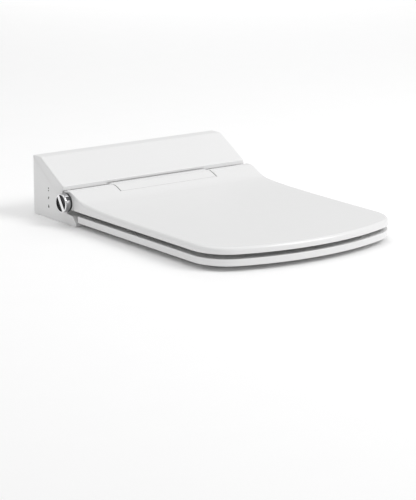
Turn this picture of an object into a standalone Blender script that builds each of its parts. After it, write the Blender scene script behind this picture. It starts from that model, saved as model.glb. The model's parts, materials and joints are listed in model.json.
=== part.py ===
"""Electric bidet seat: an assembly of separate pieces on two hinges, a knob, a nozzle and a latch.

Frame: metres, +Z up.  The seat's width runs along X, its front faces -Y, and the plane z = 0 is
the bowl rim that the seat stands on.  The pieces are drawn with the flat back of the casing at
y = 0, and the finished assembly is then moved so that its origin lies midway between the two
bolt slots of the mounting plate.
"""
import math

import bmesh
import bpy
from mathutils import Matrix, Vector

# ---------------------------------------------------------------- driving dimensions
HALF_WIDTH = 0.185            # half the width of the casing, the lid and the ring
CASE_HEIGHT = 0.099           # top of the rear casing
CASE_TOP_DEPTH = 0.0245       # flat top of the casing, back to front
LIP_Y, LIP_Z = -0.0931, 0.0566  # front edge of the lip over the hinge bay
LIP_TOP_Z = 0.0612            # where the slope meets the upright face of the lip
FRONT_Y = -0.5365             # foremost point of the lid and the ring
WALL = 0.003                  # plastic wall of the casings, the lid and the ring
GAP = 0.0004                  # clearance between neighbouring pieces

HINGE_Y, HINGE_Z = -0.103, 0.0475   # common axis of the lid and the ring
HINGE_BAY_R = 0.0133          # round bay under the lip where the lid's rear edge turns
BAY_END_DEG = 164             # where the bay ends below the pin, clear of the fully opened lid
CHEEK_W = 0.025               # width of the two end cheeks that carry the hinge pins
BAY_X = HALF_WIDTH - CHEEK_W  # half the width of the hinge bay between the cheeks
BAY_WALL_Y = -0.0968          # front wall of the casing below the bay

LID_REAR_Y = -0.0945
LID_BOTTOM_Z = 0.0264
LID_FLAT_Z = 0.0370           # height the lid's top settles to at the front
LID_STRIP = 0.018             # rounded strip behind the shoulder
LID_STRIP_Z = 0.0565
LID_STRIP_FALL = 0.0028       # how far the strip drops from the shoulder to its rear edge
LID_WALL_REAR_Y = -0.1225     # the lid's side walls start in front of the cheeks

RING_REAR_Y = -0.131
RING_BOTTOM_Z = 0.0082
RING_TOP_Z = 0.0190
HOLE_CENTRE_Y = -0.312
HOLE_HALF_LENGTH = 0.143
HOLE_HALF_WIDTH = 0.106

PIN_R = 0.0025
KNUCKLE_R = 0.0052
CHEEK_EYE_R = 0.0050          # round top of the cheek about the hinge pin
KNOB_Y, KNOB_Z = -0.1055, 0.0375
KNOB_R = 0.0155
KNOB_LENGTH = 0.0125

NOZZLE_FRONT = Vector((0.0, -0.0945, 0.0125))   # centre of the nozzle's mouth when drawn in
NOZZLE_TILT = math.radians(12)
SLEEVE_R, SLEEVE_BORE_R, SLEEVE_LEN = 0.0070, 0.0053, 0.078
WAND_R, WAND_LEN = 0.0049, 0.076

BUTTON_Y, BUTTON_Z = -0.032, 0.016   # quick-release button on the right-hand side

BOLT_Y = -0.052               # bolt line of the mounting plate
BOLT_X = 0.070                # half the bolt spacing


# ---------------------------------------------------------------- scene and materials
for old in list(bpy.data.objects):
    bpy.data.objects.remove(old, do_unlink=True)

MATERIALS = {}


def material(name, colour, roughness, metallic=0.0):
    """One Principled material per finish, made on first use."""
    if name not in MATERIALS:
        mat = bpy.data.materials.new(name)
        mat.use_nodes = True
        shader = mat.node_tree.nodes["Principled BSDF"]
        shader.inputs["Base Color"].default_value = (*colour, 1.0)
        shader.inputs["Roughness"].default_value = roughness
        shader.inputs["Metallic"].default_value = metallic
        MATERIALS[name] = mat
    return MATERIALS[name]


def white_gloss():
    return material("white_gloss_plastic", (0.86, 0.86, 0.85), 0.16)


def grey_plastic():
    return material("grey_plastic", (0.45, 0.46, 0.47), 0.5)


def dark_plastic():
    return material("dark_plastic", (0.06, 0.06, 0.065), 0.45)


def chrome():
    return material("chrome", (0.82, 0.82, 0.83), 0.08, 1.0)


def steel():
    return material("steel", (0.55, 0.55, 0.56), 0.3, 1.0)


def rubber():
    return material("soft_rubber", (0.62, 0.62, 0.61), 0.75)


def board_green():
    return material("circuit_board", (0.03, 0.16, 0.08), 0.5)


def copper():
    return material("heating_foil", (0.60, 0.32, 0.18), 0.4, 0.8)


def icon_grey():
    return material("icon_grey", (0.10, 0.11, 0.12), 0.35)


# ---------------------------------------------------------------- modelling helpers
def finish_mesh(name, bm, mat, sharp_deg=35.0):
    """Turn a bmesh into a named object with outward faces and smooth round sides."""
    bmesh.ops.remove_doubles(bm, verts=bm.verts, dist=1e-6)
    bmesh.ops.recalc_face_normals(bm, faces=bm.faces)
    mesh = bpy.data.meshes.new(name)
    bm.to_mesh(mesh)
    bm.free()
    mesh.shade_smooth()
    mesh.set_sharp_from_angle(angle=math.radians(sharp_deg))
    mesh.materials.append(mat)
    obj = bpy.data.objects.new(name, mesh)
    bpy.context.scene.collection.objects.link(obj)
    return obj


def prism_x(name, profile, x0, x1, mat):
    """A closed (y, z) profile extruded along X from x0 to x1."""
    bm = bmesh.new()
    low = [bm.verts.new((x0, y, z)) for y, z in profile]
    high = [bm.verts.new((x1, y, z)) for y, z in profile]
    count = len(profile)
    bm.faces.new(low)
    bm.faces.new(high[::-1])
    for i in range(count):
        j = (i + 1) % count
        bm.faces.new((low[i], high[i], high[j], low[j]))
    return finish_mesh(name, bm, mat)


def box(name, low, high, mat, bevel=0.0):
    """An axis-aligned box between two corners, with optional rounded edges."""
    bm = bmesh.new()
    bmesh.ops.create_cube(bm, size=1.0)
    low, high = Vector(low), Vector(high)
    size = high - low
    middle = (low + high) / 2
    for vert in bm.verts:
        vert.co = Vector((vert.co.x * size.x, vert.co.y * size.y, vert.co.z * size.z)) + middle
    if bevel:
        bmesh.ops.bevel(bm, geom=bm.edges, offset=bevel, segments=2, affect="EDGES")
    return finish_mesh(name, bm, mat)


def rod(name, start, end, radius, mat, sides=24, bevel=0.0):
    """A cylinder from start to end."""
    start, end = Vector(start), Vector(end)
    axis = end - start
    bm = bmesh.new()
    bmesh.ops.create_cone(bm, cap_ends=True, segments=sides, radius1=radius, radius2=radius,
                          depth=axis.length)
    if bevel:
        rims = [e for e in bm.edges if abs(e.verts[0].co.z - e.verts[1].co.z) < 1e-9]
        bmesh.ops.bevel(bm, geom=rims, offset=bevel, segments=2, affect="EDGES")
    turn = axis.to_track_quat("Z", "Y").to_matrix().to_4x4()
    bm.transform(Matrix.Translation((start + end) / 2) @ turn)
    return finish_mesh(name, bm, mat)


def tube(name, start, end, outer, bore, mat, sides=24):
    """A cylinder with a straight bore open at both ends."""
    start, end = Vector(start), Vector(end)
    axis = end - start
    bm = bmesh.new()
    loops = []
    for radius, z in ((outer, 0.0), (outer, axis.length), (bore, axis.length), (bore, 0.0)):
        ring = [bm.verts.new((radius * math.cos(2 * math.pi * k / sides),
                              radius * math.sin(2 * math.pi * k / sides), z))
                for k in range(sides)]
        loops.append(ring)
    join_loops(bm, loops, closed=True)
    turn = axis.to_track_quat("Z", "Y").to_matrix().to_4x4()
    bm.transform(Matrix.Translation(start) @ turn)
    return finish_mesh(name, bm, mat)


def join_loops(bm, loops, closed):
    """Quads between neighbouring vertex loops; closed also joins the last to the first."""
    pairs = list(zip(loops, loops[1:]))
    if closed:
        pairs.append((loops[-1], loops[0]))
    for first, second in pairs:
        count = len(first)
        for i in range(count):
            j = (i + 1) % count
            bm.faces.new((first[i], first[j], second[j], second[i]))


def boolean(target, tool, operation):
    """Add a Boolean modifier; the tool stays in the file as a hidden guide."""
    mod = target.modifiers.new(operation.lower() + "_" + tool.name, "BOOLEAN")
    mod.operation = operation
    mod.solver = "EXACT"
    mod.object = tool
    tool.hide_render = True
    tool.display_type = "WIRE"
    return target


def cut(target, tool):
    return boolean(target, tool, "DIFFERENCE")


def weld(target, tool):
    return boolean(target, tool, "UNION")


def set_origin(obj, point):
    """Move an object's origin to a point, leaving its shape where it is."""
    obj.data.transform(Matrix.Translation(-Vector(point)))
    obj.location = point
    return obj


def arc(cy, cz, radius, start_deg, end_deg, steps):
    """Points on a circle in the YZ plane; angle 0 is +Z and 90 is +Y, towards the back."""
    points = []
    for k in range(steps + 1):
        angle = math.radians(start_deg + (end_deg - start_deg) * k / steps)
        points.append((cy + radius * math.sin(angle), cz + radius * math.cos(angle)))
    return points


# ---------------------------------------------------------------- outlines of lid and ring
SIDE_END_Y = -0.445           # where the straight sides give way to the front corners
SIDE_DRAW = 0.0015            # how far each side has drawn in by then
BOW_R = 0.410                 # large radius of the front edge
CORNER_R = 0.066              # front corners


def half_outline(rear_y, inset, side_steps=8, corner_steps=8, front_steps=5):
    """Right-hand half of the plan outline, from the rear corner round to the front centre."""
    width = HALF_WIDTH - inset
    front = FRONT_Y + inset
    side_angle = math.atan2(SIDE_DRAW, -0.16 - SIDE_END_Y)
    bow_centre = front + BOW_R
    # The corner's centre is CORNER_R inside both the slanted side and the bowed front.
    foot = Vector((width, -0.16))
    inward = Vector((-math.cos(side_angle), math.sin(side_angle)))
    along = Vector((-math.sin(side_angle), -math.cos(side_angle)))
    base = foot + inward * CORNER_R - Vector((0.0, bow_centre))
    reach = BOW_R - CORNER_R
    b = base.dot(along)
    t = -b + math.sqrt(b * b - base.length_squared + reach * reach)
    centre = foot + inward * CORNER_R + along * t
    side_end = centre - inward * CORNER_R
    points = [Vector((width, rear_y))]
    if rear_y > -0.15:
        points.append(Vector((width, -0.16)))
    for k in range(1, side_steps):
        points.append(Vector((width, -0.16)).lerp(side_end, k / side_steps))
    start = math.atan2(side_end.y - centre.y, side_end.x - centre.x)
    out = (centre - Vector((0.0, bow_centre))).normalized()
    stop = math.atan2(out.y, out.x)
    for k in range(corner_steps + 1):
        angle = start + (stop - start) * k / corner_steps
        points.append(centre + CORNER_R * Vector((math.cos(angle), math.sin(angle))))
    for k in range(1, front_steps + 1):
        angle = stop + (-math.pi / 2 - stop) * k / front_steps
        points.append(Vector((0.0, bow_centre)) + BOW_R * Vector((math.cos(angle), math.sin(angle))))
    points[-1].x = 0.0
    return points


def whole_outline(half):
    """Mirror a half outline; its last point lies on the centre line and is used once."""
    return half + [Vector((-p.x, p.y)) for p in reversed(half[:-1])]


def inset_loop(loop, distance):
    """Offset a closed plan outline inwards by a distance, which may vary from point to point."""
    count = len(loop)
    moved = []
    for i in range(count):
        before = (loop[i] - loop[i - 1]).normalized()
        after = (loop[(i + 1) % count] - loop[i]).normalized()
        normal_a = Vector((before.y, -before.x))
        normal_b = Vector((after.y, -after.x))
        mitre = (normal_a + normal_b).normalized()
        stretch = 1.0 / max(0.5, mitre.dot(normal_a))
        amount = distance(loop[i]) if callable(distance) else distance
        moved.append(loop[i] + mitre * amount * stretch)
    return moved


def resample(loop, count):
    """Evenly spaced points along a closed loop, starting at its first point."""
    lengths = [0.0]
    for i in range(len(loop)):
        lengths.append(lengths[-1] + (loop[(i + 1) % len(loop)] - loop[i]).length)
    points = []
    seg = 0
    for k in range(count):
        want = lengths[-1] * k / count
        while lengths[seg + 1] < want:
            seg += 1
        part = (want - lengths[seg]) / (lengths[seg + 1] - lengths[seg])
        points.append(loop[seg].lerp(loop[(seg + 1) % len(loop)], part))
    return points


# ---------------------------------------------------------------- lid
def lid_top(y, fall=LID_STRIP_FALL):
    """Height of the lid's top: a strip falling to the rear, a shoulder, then a concave sweep."""
    s = LID_REAR_Y - y
    if s <= LID_STRIP:
        return LID_STRIP_Z - fall * (1 - s / LID_STRIP) ** 3
    sweep = 0.012
    shoulder = LID_STRIP_Z - LID_FLAT_Z - sweep
    return (LID_FLAT_Z + shoulder * math.exp(-((s - LID_STRIP) / 0.026) ** 2)
            + sweep * math.exp(-(s - LID_STRIP) / 0.052))


def lid_wall_bottom(y):
    """Lower edge of the lid's wall; the strip over the cheeks is only a skin."""
    if y > LID_WALL_REAR_Y:
        behind = max(0.0, (y - HINGE_Y) / (LID_REAR_Y - HINGE_Y))
        return lid_top(y, 0.0) - WALL - 0.0005 - 0.0010 * behind ** 2
    return LID_BOTTOM_Z


def lid_edge_radius(y):
    """Rounding of the lid's upper edge: tight at the rear strip, full along the sides."""
    blend = min(1.0, max(0.0, (LID_WALL_REAR_Y - y) / 0.035))
    return 0.0012 + 0.0048 * blend


STRIP_ROWS = [-0.0985, -0.1030, -0.1075, -0.1125]   # rows where the rear strip curves


def lid_half():
    """Half outline of the lid, with rows at the shoulder where its top curves most."""
    half = half_outline(LID_REAR_Y, 0.0)
    rows = STRIP_ROWS + [LID_WALL_REAR_Y + 0.0003, LID_WALL_REAR_Y - 0.0003, -0.127, -0.133, -0.140,
                         -0.149]
    extra = [Vector((HALF_WIDTH, y)) for y in rows]
    return [half[0]] + extra + [half[1], Vector((HALF_WIDTH, -0.175))] + half[2:]


def make_lid():
    outline = whole_outline(lid_half())
    count = len(outline)
    half_count = (count + 1) // 2
    bm = bmesh.new()

    def loop_at(distance, height):
        pts = inset_loop(outline, distance)
        return [bm.verts.new((p.x, p.y, height(p.y))) for p in pts]

    outer = [loop_at(0.0, lid_wall_bottom)]
    for deg in (0, 30, 60, 90):
        turn = math.radians(deg)
        outer.append(loop_at(
            lambda p, c=math.cos(turn): lid_edge_radius(p.y) * (1 - c),
            lambda y, s=math.sin(turn): lid_top(y) - lid_edge_radius(y) * (1 - s)))
    inner = [loop_at(WALL, lid_wall_bottom),
             loop_at(WALL, lambda y: max(lid_wall_bottom(y) + 0.0002, lid_top(y) - WALL - 0.003)),
             loop_at(WALL + 0.003, lambda y: lid_top(y) - WALL)]

    join_loops(bm, outer, closed=False)
    join_loops(bm, inner, closed=False)
    join_loops(bm, [outer[0], inner[0]], closed=False)
    for skin in (outer[-1], inner[-1]):
        for i in range(half_count - 1):
            far, far_next = skin[count - 1 - i], skin[count - 2 - i]
            near, near_next = skin[i], skin[i + 1]
            if near_next == far_next:
                bm.faces.new((near, near_next, far))
            else:
                bm.faces.new((near, near_next, far_next, far))
    lid = finish_mesh("lid_shell", bm, white_gloss())
    for side in (-1, 1):
        weld(lid, hinge_lug("lid_lug_%d" % side, side * 0.1340, side * 0.1465, LID_STRIP_Z - 0.0027))
    rows = [COVER_FRONT_Y - GAP] + COVER_STEPS + [LID_REAR_Y + 0.0005]
    pocket = [(y, lid_top(y, 0.0) - COVER_DEPTH) for y in rows]
    pocket += [(rows[-1], LID_STRIP_Z + 0.01), (rows[0], LID_STRIP_Z + 0.01)]
    cut(lid, prism_x("lid_pocket", pocket, -COVER_HALF - GAP, COVER_HALF + GAP, grey_plastic()))
    for side in (-1, 1):
        cut(lid, pin_bore("lid_bore_%d" % side, side))
    return set_origin(lid, (0.0, HINGE_Y, HINGE_Z))


def hinge_lug(name, x0, x1, top):
    """A lug round the hinge axis that reaches up into the lid's skin."""
    half = KNUCKLE_R
    profile = [(HINGE_Y + half, top), (HINGE_Y - half, top)]
    profile += arc(HINGE_Y, HINGE_Z, half, -90, -270, 10)
    return prism_x(name, profile, min(x0, x1), max(x0, x1), white_gloss())


def pin_bore(name, side):
    return rod(name, (side * 0.120, HINGE_Y, HINGE_Z), (side * 0.1745, HINGE_Y, HINGE_Z),
               PIN_R + 0.0003, grey_plastic(), sides=20)


COVER_HALF = 0.0965           # half width of the hinge cover
COVER_DEPTH = 0.0018          # pocket that the cover lies in
COVER_FRONT_Y = -0.1315
COVER_REAR_Y = -0.0960
COVER_STEPS = [-0.128, -0.124, -0.120, -0.116, -0.1125]


def make_hinge_cover():
    """The cover over the middle of the lid's rear strip: flush in front, level behind."""
    rows = [COVER_FRONT_Y] + COVER_STEPS + [COVER_REAR_Y]
    under = [(y, lid_top(y, 0.0) - COVER_DEPTH + GAP) for y in rows]
    over = [(y, lid_top(y, 0.0)) for y in reversed(rows)]
    cover = prism_x("hinge_cover", under + over, -COVER_HALF, COVER_HALF, white_gloss())
    return set_origin(cover, (0.0, HINGE_Y, HINGE_Z))


LID_BUMPERS = [(-0.145, -0.205), (0.145, -0.205), (-0.128, -0.452), (0.128, -0.452)]


def make_lid_bumpers():
    for number, (x, y) in enumerate(LID_BUMPERS, start=1):
        top = min(lid_top(y + 0.005), lid_top(y - 0.005)) - WALL - GAP
        pad = rod("lid_bumper_%d" % number, (x, y, RING_TOP_Z + 0.0006), (x, y, top), 0.005,
                  rubber(), sides=16, bevel=0.001)
        set_origin(pad, (0.0, HINGE_Y, HINGE_Z))


# ---------------------------------------------------------------- seat ring
RING_COUNT = 64


def ring_outer(inset):
    half = half_outline(RING_REAR_Y, 0.0005)
    corner = 0.006
    width = half[0].x
    rounded = [Vector((0.0, RING_REAR_Y)), Vector((width - corner, RING_REAR_Y)),
               Vector((width - 0.3 * corner, RING_REAR_Y - 0.3 * corner)),
               Vector((width, RING_REAR_Y - corner))]
    loop = rounded + half[1:]
    loop += [Vector((-p.x, p.y)) for p in reversed(loop[1:-1])]
    return inset_loop(resample(loop, RING_COUNT), inset)


def ring_hole(grow):
    """The egg-shaped opening, a superellipse drawn in a little towards the rear."""
    loop = []
    for k in range(RING_COUNT * 4):
        angle = math.pi / 2 - 2 * math.pi * k / (RING_COUNT * 4)
        c, s = math.cos(angle), math.sin(angle)
        x = math.copysign(abs(c) ** (2 / 2.35), c) * (HOLE_HALF_WIDTH + grow)
        y = math.copysign(abs(s) ** (2 / 2.2), s) * (HOLE_HALF_LENGTH + grow)
        x *= 1.0 - 0.10 * max(0.0, s)
        loop.append(Vector((x, HOLE_CENTRE_Y + y)))
    return resample(loop, RING_COUNT)


def between(outer, inner, share, height):
    return [(a.x + (b.x - a.x) * share, a.y + (b.y - a.y) * share, height) for a, b in zip(outer, inner)]


def flat(loop, height):
    return [(p.x, p.y, height) for p in loop]


def make_ring_upper():
    """The sitting surface: a trough open below, with an outer and an inner wall."""
    wide, hole = ring_outer(0.0), ring_hole(0.0)
    loops = [flat(wide, RING_BOTTOM_Z),
             flat(wide, RING_TOP_Z - 0.0020),
             flat(ring_outer(0.0006), RING_TOP_Z - 0.0006),
             flat(ring_outer(0.0020), RING_TOP_Z),
             between(wide, hole, 0.45, RING_TOP_Z),
             flat(ring_hole(0.016), RING_TOP_Z - 0.0012),
             flat(ring_hole(0.005), RING_TOP_Z - 0.0040),
             flat(ring_hole(0.0012), RING_TOP_Z - 0.0066),
             flat(hole, RING_TOP_Z - 0.0095),
             flat(hole, RING_BOTTOM_Z),
             flat(ring_hole(WALL), RING_BOTTOM_Z),
             flat(ring_hole(WALL), RING_TOP_Z - 0.0085),
             flat(ring_hole(0.008), RING_TOP_Z - 0.0062),
             flat(ring_outer(0.0075), RING_TOP_Z - 0.0036),
             flat(ring_outer(WALL), RING_TOP_Z - 0.0050),
             flat(ring_outer(WALL), RING_BOTTOM_Z)]
    bm = bmesh.new()
    join_loops(bm, [[bm.verts.new(p) for p in loop] for loop in loops], closed=True)
    ring = finish_mesh("seat_ring_upper", bm, white_gloss())
    for side in (-1, 1):
        weld(ring, ring_arm(side))
    for side in (-1, 1):
        cut(ring, pin_bore("ring_bore_%d" % side, side))
    cut(ring, nozzle_notch("ring_notch_upper"))
    return set_origin(ring, (0.0, HINGE_Y, HINGE_Z))


def ring_arm(side):
    """An arm from the ring's rear bar up to the hinge pin."""
    profile = arc(HINGE_Y, HINGE_Z, KNUCKLE_R, -45, 135, 8)
    profile += [(-0.1330, 0.0120), (-0.1420, 0.0120), (-0.1420, RING_TOP_Z), (-0.1290, 0.0330)]
    low, high = sorted((side * 0.1475, side * 0.1590))
    return prism_x("ring_arm_%d" % side, profile, low, high, white_gloss())


def nozzle_notch(name):
    """Room for the nozzle below the rear bar."""
    return box(name, (-0.012, -0.152, 0.0), (0.012, -0.124, 0.0128), grey_plastic())


def make_ring_lower():
    """The flat under-plate that closes the ring's trough."""
    edge, hole = ring_outer(WALL + 0.0005), ring_hole(WALL + 0.0005)
    bm = bmesh.new()
    under, over = RING_BOTTOM_Z + GAP, RING_BOTTOM_Z + 0.0026
    loops = [flat(edge, under), flat(edge, over), flat(hole, over - 0.0008), flat(hole, under)]
    join_loops(bm, [[bm.verts.new(p) for p in loop] for loop in loops], closed=True)
    plate = finish_mesh("seat_ring_lower", bm, white_gloss())
    cut(plate, box("ring_notch_lower", (-0.0145, -0.152, 0.0), (0.0145, -0.124, 0.02), grey_plastic()))
    for side in (-1, 1):
        low, high = sorted((side * 0.1465, side * 0.1600))
        cut(plate, box("ring_plate_slot_%d" % side, (low, -0.1430, 0.0), (high, -0.124, 0.02),
                       grey_plastic()))
    return set_origin(plate, (0.0, HINGE_Y, HINGE_Z))


def make_seat_heater():
    """The heating foil under the sitting surface, cut away at the hinge arms."""
    edge, hole = ring_outer(0.0150), ring_hole(0.012)
    bm = bmesh.new()
    under, over = RING_TOP_Z - 0.0076, RING_TOP_Z - 0.0070
    loops = [flat(edge, under), flat(edge, over), flat(hole, over), flat(hole, under)]
    join_loops(bm, [[bm.verts.new(p) for p in loop] for loop in loops], closed=True)
    foil = finish_mesh("seat_heating_foil", bm, copper())
    cut(foil, box("foil_notch", (-0.0150, -0.155, 0.0), (0.0150, -0.124, 0.02), grey_plastic()))
    return set_origin(foil, (0.0, HINGE_Y, HINGE_Z))


RING_BUMPERS = [(-0.146, -0.200), (0.146, -0.200), (-0.130, -0.450), (0.130, -0.450)]


def make_ring_bumpers():
    for number, (x, y) in enumerate(RING_BUMPERS, start=1):
        pad = rod("ring_bumper_%d" % number, (x, y, 0.0), (x, y, RING_BOTTOM_Z), 0.0085, rubber(),
                  sides=20, bevel=0.001)
        set_origin(pad, (0.0, HINGE_Y, HINGE_Z))


# ---------------------------------------------------------------- rear casing
def cheek_profile():
    """Side view of an end cheek, with the hinge bay, the knob boss and the lower step."""
    points = [(0.0, 0.0), (0.0, CASE_HEIGHT - 0.0025), (-0.0008, CASE_HEIGHT - 0.0008),
              (-0.0025, CASE_HEIGHT), (-CASE_TOP_DEPTH + 0.0040, CASE_HEIGHT),
              (-CASE_TOP_DEPTH + 0.0005, CASE_HEIGHT - 0.0006),
              (-CASE_TOP_DEPTH - 0.0036, CASE_HEIGHT - 0.0020)]
    points += [(LIP_Y + 0.0024, LIP_TOP_Z + 0.0008), (LIP_Y + 0.0012, LIP_TOP_Z - 0.0004),
               (LIP_Y + 0.0007, LIP_Z + 0.0001), (LIP_Y + 0.0005, LIP_Z - 0.0023)]
    points += arc(HINGE_Y, HINGE_Z, HINGE_BAY_R, 60, BAY_END_DEG, 8)
    points += arc(HINGE_Y, HINGE_Z, CHEEK_EYE_R, BAY_END_DEG, 0, 8)
    points += [(y, lid_wall_bottom(y) - 0.0005) for y in (-0.1125, -0.1165, -0.1218)]
    points += [(-0.1218, 0.0262), (-0.1030, 0.0262),
               (-0.1012, 0.0222), (-0.1030, 0.0185), (-0.1205, 0.0165), (-0.1300, 0.0057),
               (-0.1285, 0.0)]
    return points


def make_rear_cover():
    case = prism_x("rear_cover", cheek_profile(), -HALF_WIDTH, HALF_WIDTH, white_gloss())
    bay = [(-0.14, -0.01), (BAY_WALL_Y, -0.01), (BAY_WALL_Y, 0.0359)]
    bay += list(reversed(arc(HINGE_Y, HINGE_Z, HINGE_BAY_R, 90, 150, 5)))
    bay += [(HINGE_Y, HINGE_Z + 0.009), (-0.14, LIP_Z + 0.004)]
    cut(case, prism_x("bay_cutter", bay, -BAY_X, BAY_X, grey_plastic()))
    hollow = [(-0.0938, -0.01), (-0.0938, 0.0330)]
    hollow += list(reversed(arc(HINGE_Y, HINGE_Z, HINGE_BAY_R + WALL, 60, 145, 6)))
    hollow += [(-0.0885, 0.0598), (-0.0240, CASE_HEIGHT - WALL), (-WALL, CASE_HEIGHT - WALL),
               (-WALL, -0.01)]
    cut(case, prism_x("hollow_cutter", hollow, -HALF_WIDTH + WALL, HALF_WIDTH - WALL, grey_plastic()))
    for number, (x, y, top) in enumerate(POSTS, start=1):
        weld(case, rod("post_%d" % number, (x, y, 0.0032), (x, y, top), 0.0042, white_gloss(), sides=16))
    for number, (x, y, _) in enumerate(POSTS, start=1):
        cut(case, rod("post_bore_%d" % number, (x, y, 0.0), (x, y, 0.0190), 0.0018, grey_plastic(), sides=12))
    for side in (-1, 1):
        cut(case, pin_bore("cheek_bore_%d" % side, side))
    cut(case, rod("knob_shaft_bore", (-0.19, KNOB_Y, KNOB_Z), (-0.155, KNOB_Y, KNOB_Z), 0.0034,
                  grey_plastic(), sides=20))
    cut(case, rod("cartridge_bore", (-0.178, KNOB_Y, KNOB_Z), (-0.155, KNOB_Y, KNOB_Z), 0.0048,
                  grey_plastic(), sides=24))
    mouth = NOZZLE_FRONT.z + 0.0005
    cut(case, rod("nozzle_window", (0, -0.1000, mouth), (0, -0.0900, mouth), SLEEVE_R + 0.0016,
                  grey_plastic(), sides=28))
    for side in (-1, 1):
        inner, outer = sorted((side * (HALF_WIDTH - 0.0012), side * (HALF_WIDTH + 0.01)))
        cut(case, box("rear_edge_step_%d" % side, (inner, -0.0036, -0.01),
                      (outer, 0.01, CASE_HEIGHT - 0.0036), grey_plastic()))
    for number, z in enumerate(ICON_HEIGHTS, start=1):
        cut(case, rod("icon_hole_%d" % number, (-0.19, ICON_Y, z), (-0.178, ICON_Y, z), 0.0021,
                      grey_plastic(), sides=16))
    cut(case, box("button_hole", (0.178, BUTTON_Y - 0.0085, BUTTON_Z - 0.0050),
                  (0.19, BUTTON_Y + 0.0085, BUTTON_Z + 0.0050), grey_plastic()))
    cut(case, rod("inlet_hole", (INLET_X, 0.01, INLET_Z), (INLET_X, -0.006, INLET_Z), 0.0125,
                  grey_plastic(), sides=28))
    cut(case, rod("power_hole", (POWER_X, 0.01, POWER_Z), (POWER_X, -0.006, POWER_Z), 0.0068,
                  grey_plastic(), sides=24))
    return case


POSTS = [(-0.165, -0.0140, 0.0970), (0.165, -0.0140, 0.0970),
         (-0.165, -0.0780, 0.0662), (0.165, -0.0780, 0.0662)]
INLET_X, INLET_Z = -0.145, 0.024
POWER_X, POWER_Z = 0.140, 0.020
ICON_Y = -0.0478
ICON_HEIGHTS = (0.0487, 0.0345, 0.0201)


def make_base_tray():
    """The lower casing, a tray that closes the casing from below."""
    low, high = (-0.1815, -0.0933, 0.0), (0.1815, -0.0035, 0.0095)
    tray = box("base_tray", low, high, white_gloss())
    cut(tray, box("tray_hollow", (-0.1790, -0.0910, 0.0060), (0.1790, -0.0058, 0.02), grey_plastic()))
    cut(tray, box("plate_pocket", (-0.1005, -0.0805, -0.01), (0.1005, -0.0145, 0.0036), grey_plastic()))
    for number, (x, y, _) in enumerate(POSTS, start=1):
        cut(tray, rod("tray_bore_%d" % number, (x, y, -0.01), (x, y, 0.02), 0.0018, grey_plastic(), sides=12))
        cut(tray, rod("tray_sink_%d" % number, (x, y, -0.01), (x, y, 0.0026), 0.0038, grey_plastic(),
                      sides=16))
        cut(tray, rod("tray_post_room_%d" % number, (x, y, 0.0029), (x, y, 0.02), 0.0047,
                      grey_plastic(), sides=16))
    cut(tray, box("nozzle_channel", (-0.0120, -0.0990, 0.0032), (0.0120, -0.0880, 0.02), grey_plastic()))
    return tray


def make_mounting_plate():
    """The plate bolted to the bowl, which the seat slides on to; two slots take the bolts."""
    plate = box("mounting_plate", (-0.1000, -0.0800, 0.0), (0.1000, -0.0150, 0.0032), grey_plastic())
    for side in (-1, 1):
        x = side * BOLT_X
        cut(plate, box("bolt_slot_%d" % side, (x - 0.0110, BOLT_Y - 0.0040, -0.01),
                       (x + 0.0110, BOLT_Y + 0.0040, 0.01), grey_plastic()))
    return plate


def make_screws():
    for number, (x, y, _) in enumerate(POSTS, start=1):
        screw = rod("base_screw_%d" % number, (x, y, 0.0006), (x, y, 0.0022), 0.0033, steel(), sides=16)
        weld(screw, rod("screw_shank_%d" % number, (x, y, 0.0015), (x, y, 0.0170), 0.0014, steel(), sides=10))


# ---------------------------------------------------------------- hinges
def make_hinge_pins():
    for side, word in ((-1, "left"), (1, "right")):
        rod("hinge_pin_" + word, (side * 0.1325, HINGE_Y, HINGE_Z), (side * 0.1740, HINGE_Y, HINGE_Z),
            PIN_R, steel(), sides=20, bevel=0.0004)


def make_dampers():
    """Two slow-close dampers on the hinge axis, each on a foot against the casing."""
    for side, word in ((-1, "seat_damper"), (1, "lid_damper")):
        body = rod(word, (side * 0.0850, HINGE_Y, HINGE_Z), (side * 0.1318, HINGE_Y, HINGE_Z), 0.0048,
                   dark_plastic(), sides=24, bevel=0.0006)
        low, high = sorted((side * 0.0900, side * 0.1250))
        foot = [(-0.1060, 0.0450), (-0.1060, 0.0200), (BAY_WALL_Y - GAP, 0.0200),
                (BAY_WALL_Y - GAP, 0.0320), (-0.1010, 0.0345), (-0.1010, 0.0450)]
        weld(body, prism_x(word + "_foot", foot, low, high, dark_plastic()))


# ---------------------------------------------------------------- knob and its valve
def make_knob():
    """The side knob: a rim, a raised grip bar across it, and a shaft into the valve."""
    face_x = -HALF_WIDTH - 0.0004 - KNOB_LENGTH
    knob = rod("control_knob", (-HALF_WIDTH - 0.0004, KNOB_Y, KNOB_Z), (face_x, KNOB_Y, KNOB_Z),
               KNOB_R, chrome(), sides=40, bevel=0.0008)
    for side in (-1, 1):
        cut(knob, knob_scoop("knob_scoop_%d" % side, face_x, side))
    weld(knob, rod("knob_shaft", (-HALF_WIDTH - 0.002, KNOB_Y, KNOB_Z), (-0.1790, KNOB_Y, KNOB_Z),
                   0.0030, chrome(), sides=20))
    return set_origin(knob, (-HALF_WIDTH, KNOB_Y, KNOB_Z))


def knob_scoop(name, face_x, side):
    """A half-moon pocket beside the grip bar."""
    bar_half, radius = 0.0034, 0.0136
    tilt = math.radians(KNOB_BAR_DEG)
    start = math.asin(bar_half / radius)
    steps = 12
    points = []
    for k in range(steps + 1):
        angle = start + (math.pi - 2 * start) * k / steps
        u, v = radius * math.cos(angle), side * radius * math.sin(angle)
        y = KNOB_Y + u * math.cos(tilt) - v * math.sin(tilt)
        z = KNOB_Z + u * math.sin(tilt) + v * math.cos(tilt)
        points.append((y, z))
    return prism_x(name, points, face_x - 0.002, face_x + 0.0065, grey_plastic())


KNOB_BAR_DEG = 56.0           # how far the grip bar leans from the horizontal at rest


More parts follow.
